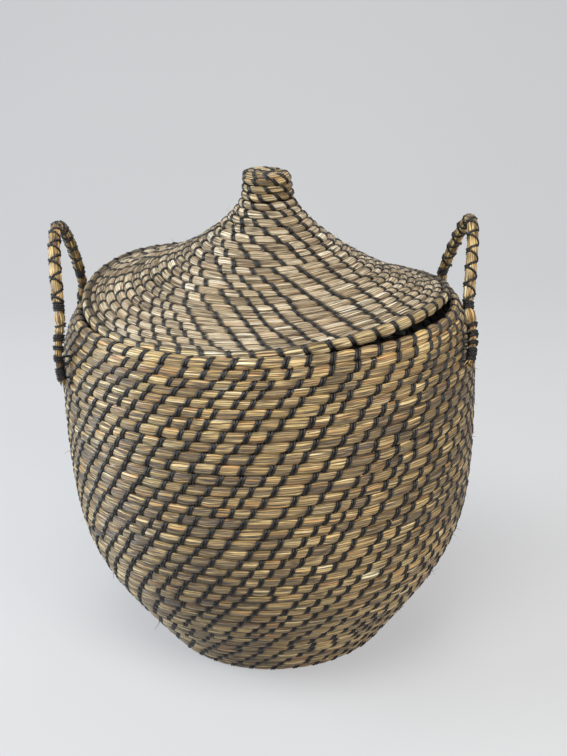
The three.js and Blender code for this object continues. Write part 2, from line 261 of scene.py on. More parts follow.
def cordMaterial(name, look):
    made, kit, shader = newMaterial(name)
    around, along, unused = kit.node("UVMap", {"uv_map": "lay"}, {}).split()
    where = kit.node("TexCoord", {}, {}, 3)
    lint = kit.node("TexNoise", {}, {"Vector": where, "Scale": look["lint"], "Detail": 2.0})
    wear = kit.node("TexNoise", {}, {"Vector": where, "Scale": look["wear"], "Detail": 3.0})
    ridge = kit.maths("SINE", (around * look["plies"] + along * look["lay"]) * turn)
    pale = wear.clamp(*look["wearFrom"]) * look["wearShare"] + lint.clamp(*look["lintFrom"]) * look["lintShare"]
    height = lint + look["ridge"] * ridge
    bump = kit.node("Bump", {}, {"Strength": look["relief"], "Distance": look["bump"], "Height": height})
    pale.blend((*look["dark"], 1), (*look["worn"], 1)).feed(shader, "Base Color")
    (look["rough"] + look["wearRough"] * wear + look["lintRough"] * lint).feed(shader, "Roughness")
    bump.feed(shader, "Normal")
    shader.inputs["Specular IOR Level"].default_value = look["gloss"]
    return made


blackCord = cordMaterial("black cord", cordLook)
print("materials made")


# shaping helpers
near = 0.01  # points this close to a level belong to it


def unit(ways):
    return ways / np.linalg.norm(ways, axis=-1, keepdims=True)


def runLength(points):
    return np.concatenate([[0], np.cumsum(np.linalg.norm(np.diff(points, axis=0), axis=1))])


def choose(piece):
    bpy.ops.object.select_all(action="DESELECT")
    bpy.context.view_layer.objects.active = piece
    piece.select_set(True)


def startEdit(piece):
    choose(piece)
    bpy.ops.object.mode_set(mode="EDIT")
    bpy.ops.mesh.select_mode(type="VERT")


def stopEdit():
    bpy.ops.object.mode_set(mode="OBJECT")


def modelFrom(addShape, **settings):  # adds a plain shape and opens it for editing
    bpy.ops.object.select_all(action="DESELECT")
    addShape(**settings)
    piece = bpy.context.active_object
    bpy.ops.object.transform_apply(location=True, rotation=True, scale=True)
    startEdit(piece)
    return piece


def pickVerts(piece, test):
    mesh = bmesh.from_edit_mesh(piece.data)
    for vert in mesh.verts:
        vert.select = test(vert.co)
    mesh.select_flush(True)
    mesh.select_flush(False)
    bmesh.update_edit_mesh(piece.data)


def cutAlong(piece, axis, cuts):  # cuts the edges that run along one axis
    bpy.ops.mesh.select_mode(type="EDGE")
    mesh = bmesh.from_edit_mesh(piece.data)
    for edge in mesh.edges:
        run = edge.verts[1].co - edge.verts[0].co
        edge.select = abs(run[axis]) > 0.9 * run.length
    bmesh.update_edit_mesh(piece.data)
    bpy.ops.mesh.subdivide(number_cuts=cuts)
    bpy.ops.mesh.select_mode(type="VERT")


def takeShape(piece):  # keeps the modelled shape as a pattern and clears it from the scene
    verts = np.array([v.co for v in piece.data.vertices])
    faces = [list(f.vertices) for f in piece.data.polygons]
    maps = np.array([loop.uv for loop in piece.data.uv_layers[0].data])
    data = piece.data
    bpy.data.objects.remove(piece)
    bpy.data.meshes.remove(data)
    return verts, faces, maps


def makePiece(name, verts, faces, material, maps):
    data = bpy.data.meshes.new(name)
    data.from_pydata(np.asarray(verts).tolist(), [], faces)
    for key, values in maps.items():
        data.uv_layers.new(name=key).data.foreach_set("uv", np.asarray(values, np.float32).ravel())
    data.polygons.foreach_set("use_smooth", [True] * len(data.polygons))
    data.materials.append(material)
    data.update()
    piece = bpy.data.objects.new(name, data)
    scene.collection.objects.link(piece)
    return piece


def newGrass():  # faces with the three maps that the grass materials read; the weave map places their painted shade
    return {"faces": [], "fibre": [], "weave": [], "tone": []}


def addFace(grass, corners, fibre, weave, tone):
    grass["faces"].append(corners)
    grass["fibre"] += fibre
    grass["weave"] += weave
    grass["tone"] += [tone] * len(corners)


def addCap(grass, corners, weave):
    addFace(grass, corners, [(0, 0)] * len(corners), [weave] * len(corners), (0.5, 0.5))


def grassPiece(name, verts, grass, material):
    maps = {key: grass[key] for key in ("fibre", "weave", "tone")}
    return makePiece(name, verts, grass["faces"], material, maps)


def finishPiece(piece, body, slot, *nodes):
    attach(piece, body)
    if nodes:
        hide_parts(*nodes)


# one cell of the bundle, between two stitches: x runs 0 to 1 along it, y outward, z up the wall.
# Rings are where each cut goes along the cell and how wide it is there
cellLook = {"sides": 12, "rings": [(0.10, 0.87), (0.24, 0.99), (0.50, 1.05), (0.76, 0.99), (0.90, 0.87)], "waist": 0.79}
parked = 2  # placed rings wait this far along, so that no later pick takes them again
cell = modelFrom(
    bpy.ops.mesh.primitive_cylinder_add, vertices=cellLook["sides"], radius=1, depth=1, end_fill_type="NOTHING",
    location=(0.5, 0, 0), rotation=(0, math.pi / 2, 0))
cutAlong(cell, 0, len(cellLook["rings"]))
for number, (moved, wide) in enumerate(cellLook["rings"], 1):
    at = number / (len(cellLook["rings"]) + 1)
    pickVerts(cell, lambda co: abs(co.x - at) < near)
    bpy.ops.transform.resize(value=(1, wide, wide))
    bpy.ops.transform.translate(value=(moved - at + parked, 0, 0))
pickVerts(cell, lambda co: co.x > 1 + near)
bpy.ops.transform.translate(value=(-parked, 0, 0))
pickVerts(cell, lambda co: co.x < near or co.x > 1 - near)
bpy.ops.transform.resize(value=(1, cellLook["waist"], cellLook["waist"]), center_override=(0.5, 0, 0))
bpy.ops.mesh.select_all(action="SELECT")
bpy.ops.mesh.flip_normals()
stopEdit()
cellVerts, cellFaces, unused = takeShape(cell)
print("bundle cell:", len(cellVerts), "points,", len(cellFaces), "faces")

# one stitch of plies laid side by side, a little twisted: y runs -1 to 1 over the bundle, x and z in metres
stitchLook = {
    "ply": 0.00145, "apart": 0.93, "rest": 0.75, "twist": 14, "flat": 0.92, "sink": 0.0006, "wrap": 1.60,
    "least": 0.008, "thinnest": 0.90, "uneven": 0.20,
}


def modelStitch(plies, sides, cuts):
    ply = stitchLook["ply"]
    piece = modelFrom(
        bpy.ops.mesh.primitive_cylinder_add, vertices=sides, radius=ply, depth=2, end_fill_type="NGON",
        rotation=(math.pi / 2, 0, 0))
    cutAlong(piece, 1, cuts)
    bpy.ops.mesh.select_all(action="SELECT")
    if plies == 2:
        bpy.ops.transform.translate(value=(ply * stitchLook["apart"], 0, 0))
        bpy.ops.mesh.duplicate()
        bpy.ops.transform.translate(value=(-2 * ply * stitchLook["apart"], 0, 0))
    for step in range(cuts + 2):
        level = -1 + 2 * step / (cuts + 1)
        pickVerts(piece, lambda co: abs(co.y - level) < 2 * near)
        twist = math.radians(stitchLook["twist"] * level)
        bpy.ops.transform.rotate(value=twist, orient_axis="Y", center_override=(0, level, 0))
    bpy.ops.mesh.select_all(action="SELECT")
    bpy.ops.transform.resize(value=(1, 1, stitchLook["flat"]), center_override=(0, 0, 0))
    bpy.ops.transform.translate(value=(0, 0, ply * stitchLook["rest"] - stitchLook["sink"]))
    bpy.ops.mesh.flip_normals()
    stopEdit()
    return takeShape(piece)


outerStitch = modelStitch(2, 6, 4)
innerStitch = modelStitch(1, 4, 3)
print("stitch:", len(outerStitch[1]), "faces outside,", len(innerStitch[1]), "inside")

# outer lines of the shapes, as cubic curves of (radius, height) in mm
curvePoints = 300


def cubic(t, a, b, c, d):
    return (1 - t) ** 3 * a + 3 * (1 - t) ** 2 * t * b + 3 * (1 - t) * t * t * c + t ** 3 * d


def meridian(*curves):
    t = np.linspace(0, 1, curvePoints)[:, None]
    rows = [cubic(t, *np.array(curve, float)) * mm for curve in curves]
    points = np.vstack([rows[0]] + [row[1:] for row in rows[1:]])
    length = runLength(points)
    slope = unit(np.gradient(points, length, axis=0))
    return {"length": length, "columns": np.hstack([points, slope]).T, "end": length[-1]}


def onLine(line, distance):
    return [np.interp(distance, line["length"], column) for column in line["columns"]]


def soften(t):
    t = np.clip(t, 0, 1)
    return t * t * (3 - 2 * t)


# a coil climbs one course a turn along its outer line; a level one stays where it is.
# Under the rim the last courses turn level and run out at the back, within a short part of the turn
runOut = {"azimuth": 0.25, "share": 0.13, "laps": 4.0, "short": 0.2, "plainShort": 0.12}


def newCoil(line, start, end, pitches, **look):
    coil = dict(look, line=line, start=start, end=end, level=False, pitch=pitches[0][1])
    heights = np.interp(line["length"], *zip(*pitches))
    laps = np.concatenate([[0], np.cumsum(2 * np.diff(line["length"]) / (heights[1:] + heights[:-1]))])
    coil["laps"] = laps - np.interp(start, line["length"], laps)
    coil["last"] = float(np.interp(end, line["length"], coil["laps"]))
    coil["turns"] = coil["last"] - runOut["plainShort"]
    if coil["levelTop"]:
        lastLap = round(coil["last"] - runOut["azimuth"])
        coil["turns"] = runOut["azimuth"] + lastLap - runOut["short"] * runOut["share"]
    return coil


def levelled(coil, laps):
    if not coil["levelTop"]:
        return laps
    past = laps - runOut["azimuth"] - round(coil["last"] - runOut["azimuth"])
    first = np.minimum(np.floor(past), 0)
    high = coil["last"] + first + soften((past - first - 1 + runOut["share"]) / runOut["share"])
    return laps + (np.minimum(high, coil["last"]) - laps) * soften(1 + past / runOut["laps"])


# courses waver a little by hand, but not at the coil's two ends
waverLook = {"calm": 0.03, "slow": 2.37, "sway": 1.8, "drift": 0.713, "quick": 5.21, "quickShare": 0.6}


def courseEdges(coil, theta):
    if coil["level"]:
        return np.full_like(theta, coil["start"]), np.full_like(theta, coil["end"])
    edges = []
    for spot in (theta, theta + turn):
        edge = np.interp(levelled(coil, spot / turn), coil["laps"], coil["line"]["length"])
        edge = np.clip(edge, coil["start"], coil["end"])
        calm = np.clip((edge - coil["start"]) / waverLook["calm"], 0, 1)
        calm = calm * np.clip((coil["end"] - edge) / waverLook["calm"], 0, 1)
        slow = np.sin(waverLook["slow"] * spot + waverLook["sway"] * np.sin(waverLook["drift"] * spot))
        quick = waverLook["quickShare"] * np.sin(waverLook["quick"] * spot)
        edges.append(edge + calm * coil["waver"] * (slow + quick))
    return edges


def courseRadius(coil, theta):
    low, high = courseEdges(coil, np.asarray(theta, float))
    return onLine(coil["line"], (low + high) / 2)[0]


# the lid has warped: up at the front right and more at the back left, with its knob moved to the right
lidWarp = {
    "edge": 0.1883, "front": 0.015, "frontAzimuth": math.radians(-30), "back": 0.028, "backAzimuth": math.radians(139),
    "sag": 0.0034, "sagAzimuth": math.radians(150), "shift": 0.0070, "lean": 0.05, "leanFrom": 0.4698,
}


def warpLid(x, y, z):
    reach = np.hypot(x, y) / lidWarp["edge"]
    inward = np.maximum(0, 1 - reach)
    azimuth = np.arctan2(y, x)
    front = lidWarp["front"] * np.maximum(0, np.cos(azimuth - lidWarp["frontAzimuth"])) ** 3
    back = lidWarp["back"] * np.maximum(0, np.cos(azimuth - lidWarp["backAzimuth"])) ** 2
    sag = 4 * lidWarp["sag"] * reach * inward * np.cos(azimuth - lidWarp["sagAzimuth"])
    aside = lidWarp["shift"] * inward - lidWarp["lean"] * np.maximum(0, z - lidWarp["leanFrom"])
    return x + aside, y, z + (front + back) * reach ** 2 + sag


# the bundle thins where a course runs out, and keeps off the axis
bundleLook = {
    "runOutDepth": 0.45, "axis": 0.0004, "least": 0.012, "lumps": 0.09, "plump": 0.14,
    "perMetre": 100, "lanes": 0.5, "along": 60, "across": 40,
}


def onCoil(coil, theta, angle, swell, lift=0.0):
    low, high = courseEdges(coil, theta)
    half = (high - low) / 2 * coil["snug"]  # how far the courses press into each other
    r, z, tr, tz = onLine(coil["line"], (low + high) / 2)
    share = np.clip(2 * half / coil["pitch"], 0, 1)
    deep = coil["thick"] / 2 * (bundleLook["runOutDepth"] + (1 - bundleLook["runOutDepth"]) * share)
    square = coil["square"]
    full = (np.abs(np.cos(angle)) ** square + np.abs(np.sin(angle)) ** square) ** (-1 / square)
    outward = np.cos(angle) * (deep * swell * full + lift) - deep
    upward = np.sin(angle) * (half * swell * full + lift)
    radius = np.maximum(r + tz * outward + tr * upward, bundleLook["axis"])
    place = radius * np.cos(theta), radius * np.sin(theta), z - tr * outward + tz * upward
    return np.stack(warpLid(*place) if coil["warped"] else place, -1)


# stitches follow the ones a course below, so they line up in slanting chains
stitchPlan = {"catch": 0.36, "tightest": 0.6, "ringLoose": 0.14, "begin": -0.85 * turn}


def planStitches(coil):
    marks = [stitchPlan["begin"]]
    follow = 0
    last = coil["turns"] * turn
    while marks[-1] < last:
        radius = float(courseRadius(coil, marks[-1]))
        gap = np.interp(radius, *coil["gaps"])
        radius = max(radius, gap * stitchPlan["tightest"])
        step = gap / radius
        goal = marks[-1] + step
        catch = stitchPlan["catch"] * step
        shift = turn + (coil["chain"] + coil["sweep"] * math.sin(marks[-1] - coil["sweepFrom"])) / radius
        while follow < len(marks) - 1 and marks[follow] + shift < goal - catch:
            follow += 1
        lead = marks[follow] + shift
        chosen = lead if abs(lead - goal) < catch else goal
        marks.append(chosen + (chance.rand() - 0.5) * coil["loose"] * step)
    return np.array(marks)


def ringStitches(coil, first):
    radius = float(courseRadius(coil, 0.0))
    count = round(turn * radius / np.interp(radius, *coil["gaps"]))
    step = turn / count
    marks = first + np.arange(count) * step + (chance.rand(count) - 0.5) * stitchPlan["ringLoose"] * step
    return np.append(marks, marks[0] + turn)


# lays a cell between each two stitches; neighbours share the ring of points at their waist
def layBundle(name, coil, marks, material, closed=False):
    count = len(marks) - 1
    x, y, z = cellVerts.T
    angle, swell = np.arctan2(z, y), np.hypot(y, z)
    atStart, atEnd = x < near, x > 1 - near
    keep = np.flatnonzero(~atEnd)
    size = len(keep)
    slotOf = {vert: place for place, vert in enumerate(keep)}
    waist = sorted(np.flatnonzero(atStart), key=lambda v: angle[v])
    partner = {}
    for vert in np.flatnonzero(atEnd):
        partner[vert] = min(waist, key=lambda v: abs(math.remainder(angle[v] - angle[vert], turn)))
    inside = ~atStart[keep]

    radius = np.maximum(courseRadius(coil, marks[:-1]), bundleLook["least"])[:, None]
    theta = marks[:-1, None] + np.diff(marks)[:, None] * x[keep] + coil["lean"] * np.sin(angle[keep]) / radius
    lumps = (chance.rand(count, size) - 0.5) * bundleLook["lumps"]
    plump = (chance.rand(count, 1) - 0.5) * bundleLook["plump"]
    uneven = 1 + inside * (lumps + plump)
    verts = onCoil(coil, theta, angle[keep] + 0 * theta, swell[keep] * uneven).reshape(-1, 3)
    if not closed:
        endTheta = marks[-1] + coil["lean"] * np.sin(angle[waist]) / radius[-1]
        verts = np.vstack([verts, onCoil(coil, endTheta, angle[waist], swell[waist])])

    middle = cellVerts[np.array(cellFaces)].mean(1)
    faceAngle = np.arctan2(middle[:, 2], middle[:, 1])
    cornerAngles = []  # unrolled from each face's own angle, so that no face wraps round
    for face, corners in enumerate(cellFaces):
        cornerAngles.append([faceAngle[face] + math.remainder(angle[v] - faceAngle[face], turn) for v in corners])
    lengths = np.diff(marks) * radius[:, 0] * bundleLook["perMetre"]
    grass = newGrass()
    for c in range(count):
        offset, drop = chance.rand() * bundleLook["along"], chance.rand() * bundleLook["across"]
        cellTone = tuple(chance.rand(2))
        for corners, angles in zip(cellFaces, cornerAngles):
            row = []
            for v in corners:
                if not atEnd[v]:
                    row.append(c * size + slotOf[v])
                elif c + 1 < count or closed:
                    row.append((c + 1) % count * size + slotOf[partner[v]])
                else:
                    row.append(count * size + waist.index(partner[v]))
            spots = list(zip(corners, angles))
            fibre = [(offset + x[v] * lengths[c], drop + a * bundleLook["lanes"]) for v, a in spots]
            # the weave map places each corner along and around its cell, which sets where the grass material paints its
            # shade
            addFace(grass, row, fibre, [(x[v], a / math.pi) for v, a in spots], cellTone)
    if not closed:
        # the open ends take the painted shade of a bite and a valley
        addCap(grass, [slotOf[v] for v in waist], (0, 0.5))
        addCap(grass, [count * size + k for k in range(len(waist))][::-1], (0, 0.5))
    return grassPiece(name, verts, grass, material)


def layStitches(name, runs, shape, inner):
    pattern, patternFaces, patternMap = shape
    x, y, z = pattern.T
    angle = y * stitchLook["wrap"] + (math.pi if inner else 0)
    allVerts, faces, start = [], [], 0
    for coil, marks in runs:
        radius = np.maximum(courseRadius(coil, marks), stitchLook["least"])[:, None]
        uneven = stitchLook["thinnest"] + stitchLook["uneven"] * chance.rand(len(marks), 1)
        plump = np.interp(radius, *coil["cords"]) * uneven
        theta = marks[:, None] + (coil["lean"] * np.sin(angle) + x * plump) / radius
        verts = onCoil(coil, theta, angle + 0 * theta, cellLook["waist"], z * plump)
        allVerts.append(verts.reshape(-1, 3))
        for c in range(len(marks)):
            faces += [[start + c * len(pattern) + v for v in corners] for corners in patternFaces]
        start += verts.shape[0] * verts.shape[1]
    stitches = sum(len(marks) for coil, marks in runs)
    return makePiece(name, np.vstack(allVerts), faces, blackCord, {"lay": np.tile(patternMap, (stitches, 1))})


# wall, rim and base: gaps between stitches and thickness of cord go by the course's radius
rimHeight = 378
course = 0.011
wallLook = {
    "thick": 0.0096, "square": 2.2, "snug": 1.11, "waver": 0.0005, "warped": False, "levelTop": True,
    "lean": 0.0025, "chain": 0.0096, "sweep": 0.0, "sweepFrom": 0.0, "loose": 0.20,
    "gaps": ([0.1, 0.2], [0.0225, 0.0232]), "cords": ([0.12, 0.2], [0.90, 1.0]),
}
baseLook = dict(
    wallLook, thick=0.0095, snug=1.26, levelTop=False, lean=0.003, chain=0.0056,
    gaps=([0.01, 0.1], [0.014, 0.020]), cords=([0, 1], [0.8, 0.8]))
rimLook = {"below": 0.0112, "above": 0.0002, "thick": 0.0106, "wallBelow": 0.0108}
bandLook = {"courses": 3, "leastStitches": 30, "cordPieces": 3}
wallLine = meridian(
    [(125, 0), (205, 112), (220, 120), (220, 275)],
    [(220, 275), (220, 334.74), (216.5, 353), (199.5, rimHeight)])
baseLine = meridian([(0, 0), (40, 0), (80, 0), (123, 0)])
evenCourses = [(0, course), (1, course)]
wallCoil = newCoil(wallLine, 0.0, wallLine["end"] - rimLook["wallBelow"], evenCourses, **wallLook)
rimCoil = dict(
    wallCoil, start=wallLine["end"] - rimLook["below"], end=wallLine["end"] + rimLook["above"],
    level=True, thick=rimLook["thick"])
baseCoil = newCoil(baseLine, 0.0, baseLine["end"], evenCourses, **baseLook)
wallMarks = planStitches(wallCoil)
rimMarks = ringStitches(rimCoil, wallMarks[-1])
baseMarks = planStitches(baseCoil)
lastMark = len(wallMarks) - 1
bandStart = 0
bandNumber = 1
while bandStart < lastMark:
    bandEnd = min(int(np.searchsorted(wallMarks, bandNumber * bandLook["courses"] * turn)), lastMark)
    if lastMark - bandEnd < bandLook["leastStitches"]:
        bandEnd = lastMark
    band = layBundle("wall_courses_%02d" % bandNumber, wallCoil, wallMarks[bandStart:bandEnd + 1], seagrass)
    finishPiece(band, "basket", "seagrass", "wall_coil")
    bandStart = bandEnd
    bandNumber += 1
rimCourse = layBundle("rim_course", rimCoil, rimMarks, seagrass, True)
finishPiece(rimCourse, "basket", "seagrass", "rim_coil")
baseCourses = layBundle("base_courses", baseCoil, baseMarks, seagrass)
finishPiece(baseCourses, "basket", "seagrass", "base_coil")
rimRun = (rimCoil, rimMarks[:-1])
for number, marks in enumerate(np.array_split(wallMarks, bandLook["cordPieces"]), 1):
    runs = [(wallCoil, marks)] + ([rimRun] if number == bandLook["cordPieces"] else [])
    stitches = layStitches("wall_stitches_%d" % number, runs, outerStitch, False)
    finishPiece(stitches, "basket", "black_cord")
runs = [(wallCoil, wallMarks), rimRun, (baseCoil, baseMarks)]
finishPiece(layStitches("wall_stitches_inside", runs, innerStitch, True), "basket", "black_cord")
finishPiece(layStitches("base_stitches", runs[-1:], innerStitch, False), "basket", "black_cord")
print("wall done,", len(wallMarks), "stitches in", bandNumber - 1, "bands")

# lid: level edge, then one coil up the cone and over the knob, its courses thinner at the knob
lidLook = {
    "thick": 0.0084, "square": 2.2, "snug": 1.08, "waver": 0.0004, "warped": True, "levelTop": False,
    "lean": -0.0032, "chain": -0.0056, "sweep": 0.0095, "sweepFrom": math.radians(266), "loose": 0.26,
    "gaps": ([0.02, 0.05, 0.08, 0.19], [0.0165, 0.0205, 0.0226, 0.0232]), "cords": ([0.05, 0.13], [0.90, 0.70]),
}
lidCourses = {
    "start": 0.0053, "cone": 0.0100, "neck": 0.0078, "knob": 0.0072, "neckFrom": 0.035,
    "cuts": [3, 6, 10], "knobBefore": 0.5, "edgeFirst": 0.1,
}
lidLine = meridian(
    [(189.6, 377.4), (131.1, 398.1), (44.5, 447.6), (27.2, 485.7)],
    [(27.2, 485.7), (26.5, 491.5), (25.9, 497.3), (25.3, 503)],
    [(25.3, 503), (25.2, 510.5), (21.5, 513.4), (13, 512.4)],
    [(13, 512.4), (9, 511.8), (4, 511), (0, 510.8)])
coneEnd = lidLine["length"][curvePoints - 1]
lidPitches = [
    (0, lidCourses["cone"]), (coneEnd - lidCourses["neckFrom"], lidCourses["cone"]),
    (coneEnd, lidCourses["neck"]), (lidLine["end"], lidCourses["knob"])]
lidCoil = newCoil(lidLine, lidCourses["start"], lidLine["end"], lidPitches, **lidLook)
edgeLine = meridian([(190.6, 368.1), (193.4, 371.1), (193.6, 375.5), (190.8, 378.7)])
edgeCoil = dict(
    lidCoil, line=edgeLine, start=0.0, end=edgeLine["end"], level=True, thick=0.0100,
    gaps=([0.1, 0.2], [0.0238, 0.0238]), cords=([0, 1], [0.94, 0.94]))
lidMarks = planStitches(lidCoil)
edgeMarks = ringStitches(edgeCoil, lidCourses["edgeFirst"])
edgeCourse = layBundle("lid_edge_course", edgeCoil, edgeMarks, edgeSeagrass, True)
finishPiece(edgeCourse, "lid", "pale_seagrass", "lid_edge_coil")
knobLap = float(np.interp(coneEnd, lidLine["length"], lidCoil["laps"])) - lidCourses["knobBefore"]
cutLaps = lidCourses["cuts"] + [knobLap]
cuts = [0] + [int(np.searchsorted(lidMarks, laps * turn)) for laps in cutLaps] + [len(lidMarks) - 1]
for number, (first, last) in enumerate(zip(cuts, cuts[1:]), 1):
    isKnob = last == cuts[-1]
    name = "lid_knob" if isKnob else "lid_courses_%02d" % number
    piece = layBundle(name, lidCoil, lidMarks[first:last + 1], knobSeagrass if isKnob else paleSeagrass)
    finishPiece(piece, "lid", "pale_seagrass", "lid_knob_coil" if isKnob else "lid_cone_coil")
edgeRun = (edgeCoil, edgeMarks[:-1])
stitches = layStitches("lid_stitches", [edgeRun, (lidCoil, lidMarks)], outerStitch, False)
finishPiece(stitches, "lid", "black_cord")
stitches = layStitches("lid_stitches_inside", [edgeRun, (lidCoil, lidMarks[:cuts[-2]])], innerStitch, True)
finishPiece(stitches, "lid", "black_cord")
print("lid done,", len(lidMarks), "stitches")

# handles: bundle, two crossing cords, lashed legs, cut ends. The route's sizes are in mm
routeLook = {"rim": 204, "standoff": 7.8, "bow": 2.5, "spring": 16, "tail": 5, "ahead": 3, "points": 60}
handleSides = {  # bands: how far up the leg a lashing starts, and its turns
    "left": {
        "side": -1, "turn": math.radians(-0.8), "foot": math.radians(22.4), "spread": math.radians(20.9),
        "gap": 8.8, "drop": 50, "rise": 83, "reach": 214.2, "shoulder": 47,
        "bands": [(0.001, 6), (0.019, 3), (0.031, 2), (0.040, 3), (0.055, 1), (0.070, 4)],
    },
    "right": {
        "side": 1, "turn": math.radians(2.2), "foot": math.radians(28.1), "spread": math.radians(19.9),
        "gap": 1.6, "drop": 40, "rise": 74.6, "reach": 216.4, "shoulder": 29.4,
        "bands": [(0.001, 6), (0.018, 2), (0.026, 3), (0.037, 2), (0.058, 4)],
    },
}


def handleRoute(shape):
    def place(azimuth, reach, height):
        across, deep = shape["side"] * reach * np.cos(azimuth), reach * np.sin(azimuth)
        return np.stack([across, deep, height + 0 * azimuth], -1)

    t = np.linspace(0, 1, routeLook["points"])
    tail = routeLook["tail"] / shape["drop"]
    up = t * (1 + tail) - tail
    wallRadius, wallHeight = wallLine["columns"][:2]
    foot = np.interp((rimHeight - shape["drop"]) * mm, wallHeight, wallRadius) / mm
    apex = place(np.array(shape["turn"]), shape["reach"], rimHeight + shape["rise"])
    beside = place(np.array(shape["turn"] + math.pi / 2), 1, 0)
    halves = []
    for way in (-1, 1):
        spread = shape["foot"] + (shape["spread"] - shape["foot"]) * up
        reach = foot + (routeLook["rim"] + shape["gap"] - foot) * up
        reach = reach + 4 * routeLook["bow"] * up * (1 - up) + routeLook["standoff"]
        leg = place(shape["turn"] + way * spread, reach, rimHeight - shape["drop"] * (1 - up))
        spring = leg[-1] + routeLook["spring"] * unit(leg[-1] - leg[0])
        arch = cubic(t[:, None], leg[-1], spring, apex + way * shape["shoulder"] * beside, apex)
        halves.append(np.vstack([leg, arch[1:]]))
    points = np.vstack([halves[0], halves[1][-2::-1]]) * mm
    length = runLength(points)
    return {"points": points, "length": length, "whole": length[-1], "leg": length[routeLook["points"] - 1]}


def onRoute(route, distance, angle, reach):  # angle 0 is away from the basket
    def along(distance):
        return np.stack([np.interp(distance, route["length"], column) for column in route["points"].T], -1)

    distance = np.asarray(distance, float)
    centre = along(distance)
    step = routeLook["ahead"] * mm
    ahead = unit(along(distance + step) - along(distance - step))
    sideways = unit(np.cross(ahead, centre * np.array([1, 1, 0])))
    out = np.cross(sideways, ahead)
    return centre + (np.cos(angle) * reach)[..., None] * out + (np.sin(angle) * reach)[..., None] * sideways


# two plies wound round each other; askew is a direction that no cord runs along
plyLook = {"apart": 0.92, "askew": np.array([0.31, 0.17, 0.93])}


def twistedCord(name, paths, ply, lay, body, node):
    curve = bpy.data.curves.new(name, "CURVE")
    curve.dimensions = "3D"
    curve.bevel_depth = ply
    curve.bevel_resolution = 1
    curve.use_fill_caps = True
    for path in paths:
        ahead = unit(np.gradient(path, axis=0))
        first = unit(np.cross(ahead, plyLook["askew"]))
        second = np.cross(ahead, first)
        for phase in (0, math.pi):
            spin = runLength(path) / lay * turn + phase
            aside = np.cos(spin)[:, None] * first + np.sin(spin)[:, None] * second
            points = path + ply * plyLook["apart"] * aside
            spline = curve.splines.new("POLY")
            spline.points.add(len(points) - 1)
            spline.points.foreach_set("co", np.hstack([points, np.ones((len(points), 1))]).ravel())
    piece = bpy.data.objects.new(name, curve)
    scene.collection.objects.link(piece)
    choose(piece)
    bpy.ops.object.convert(target="MESH")
    piece = bpy.context.active_object
    piece.data.materials.clear()
    piece.data.materials.append(blackCord)
    bpy.ops.object.shade_smooth()
    finishPiece(piece, body, "black_cord", node)


# one loose fibre: z runs 0 to 1 along it
hairLook = {"tip": 0.35, "cuts": 3, "flat": 0.6, "along": 60, "perMetre": 100, "askew": (0.3, 0.5, 0.81)}
hair = modelFrom(
    bpy.ops.mesh.primitive_cone_add, vertices=3, radius1=1, radius2=hairLook["tip"], depth=1, location=(0, 0, 0.5))
cutAlong(hair, 2, hairLook["cuts"])
stopEdit()
hairVerts, hairFaces, unused = takeShape(hair)


def growFibres(name, roots, ways, bends, lengths, thick, body, slot, material):
    verts = []
    grass = newGrass()
    x, y, z = hairVerts.T
    for n in range(len(roots)):
        way = unit(ways[n])
        side = unit(np.cross(way, hairLook["askew"]))
        other = np.cross(way, side)
        placed = roots[n] + z[:, None] * lengths[n] * way + (z ** 2)[:, None] * (bends[n] * lengths[n])
        placed = placed + (x * thick[n])[:, None] * side + (y * thick[n] * hairLook["flat"])[:, None] * other
        verts.append(placed)
        start = n * len(hairVerts)
        offset = chance.rand() * hairLook["along"]
        hue = tuple(chance.rand(2))
        for corners in hairFaces:
            fibre = [(offset + z[v] * lengths[n] * hairLook["perMetre"], offset) for v in corners]
            addFace(grass, [start + v for v in corners], fibre, [(0.5, 0.0)] * len(corners), hue)
    finishPiece(grassPiece(name, np.vstack(verts), grass, material), body, slot)


# the bundle swells between the cords on the loop, and between the lashings on the legs
handle = {
    "core": 0.0050, "plump": 1.16, "bite": 0.30, "biteWide": 0.55, "uneven": 0.08, "sides": 14, "rings": 240,
    "lashed": 0.0039, "between": 0.0055, "footShare": 0.84, "footLong": 0.05, "lane": 0.24, "perMetre": 100,
    "freeBefore": 0.002, "freeOver": 0.006, "tieReach": 1.6, "tieOver": 0.0025, "toneStep": 0.37, "toneSway": 0.45,
    "pitch": 0.0185, "cross": 0.6, "turnPitch": 0.0023,
}


def legTaper(fromFoot):
    return handle["footShare"] + (1 - handle["footShare"]) * soften(fromFoot / handle["footLong"])


def lashingTop(shape):
    begin, laps = shape["bands"][-1]
    return begin + laps * handle["turnPitch"]


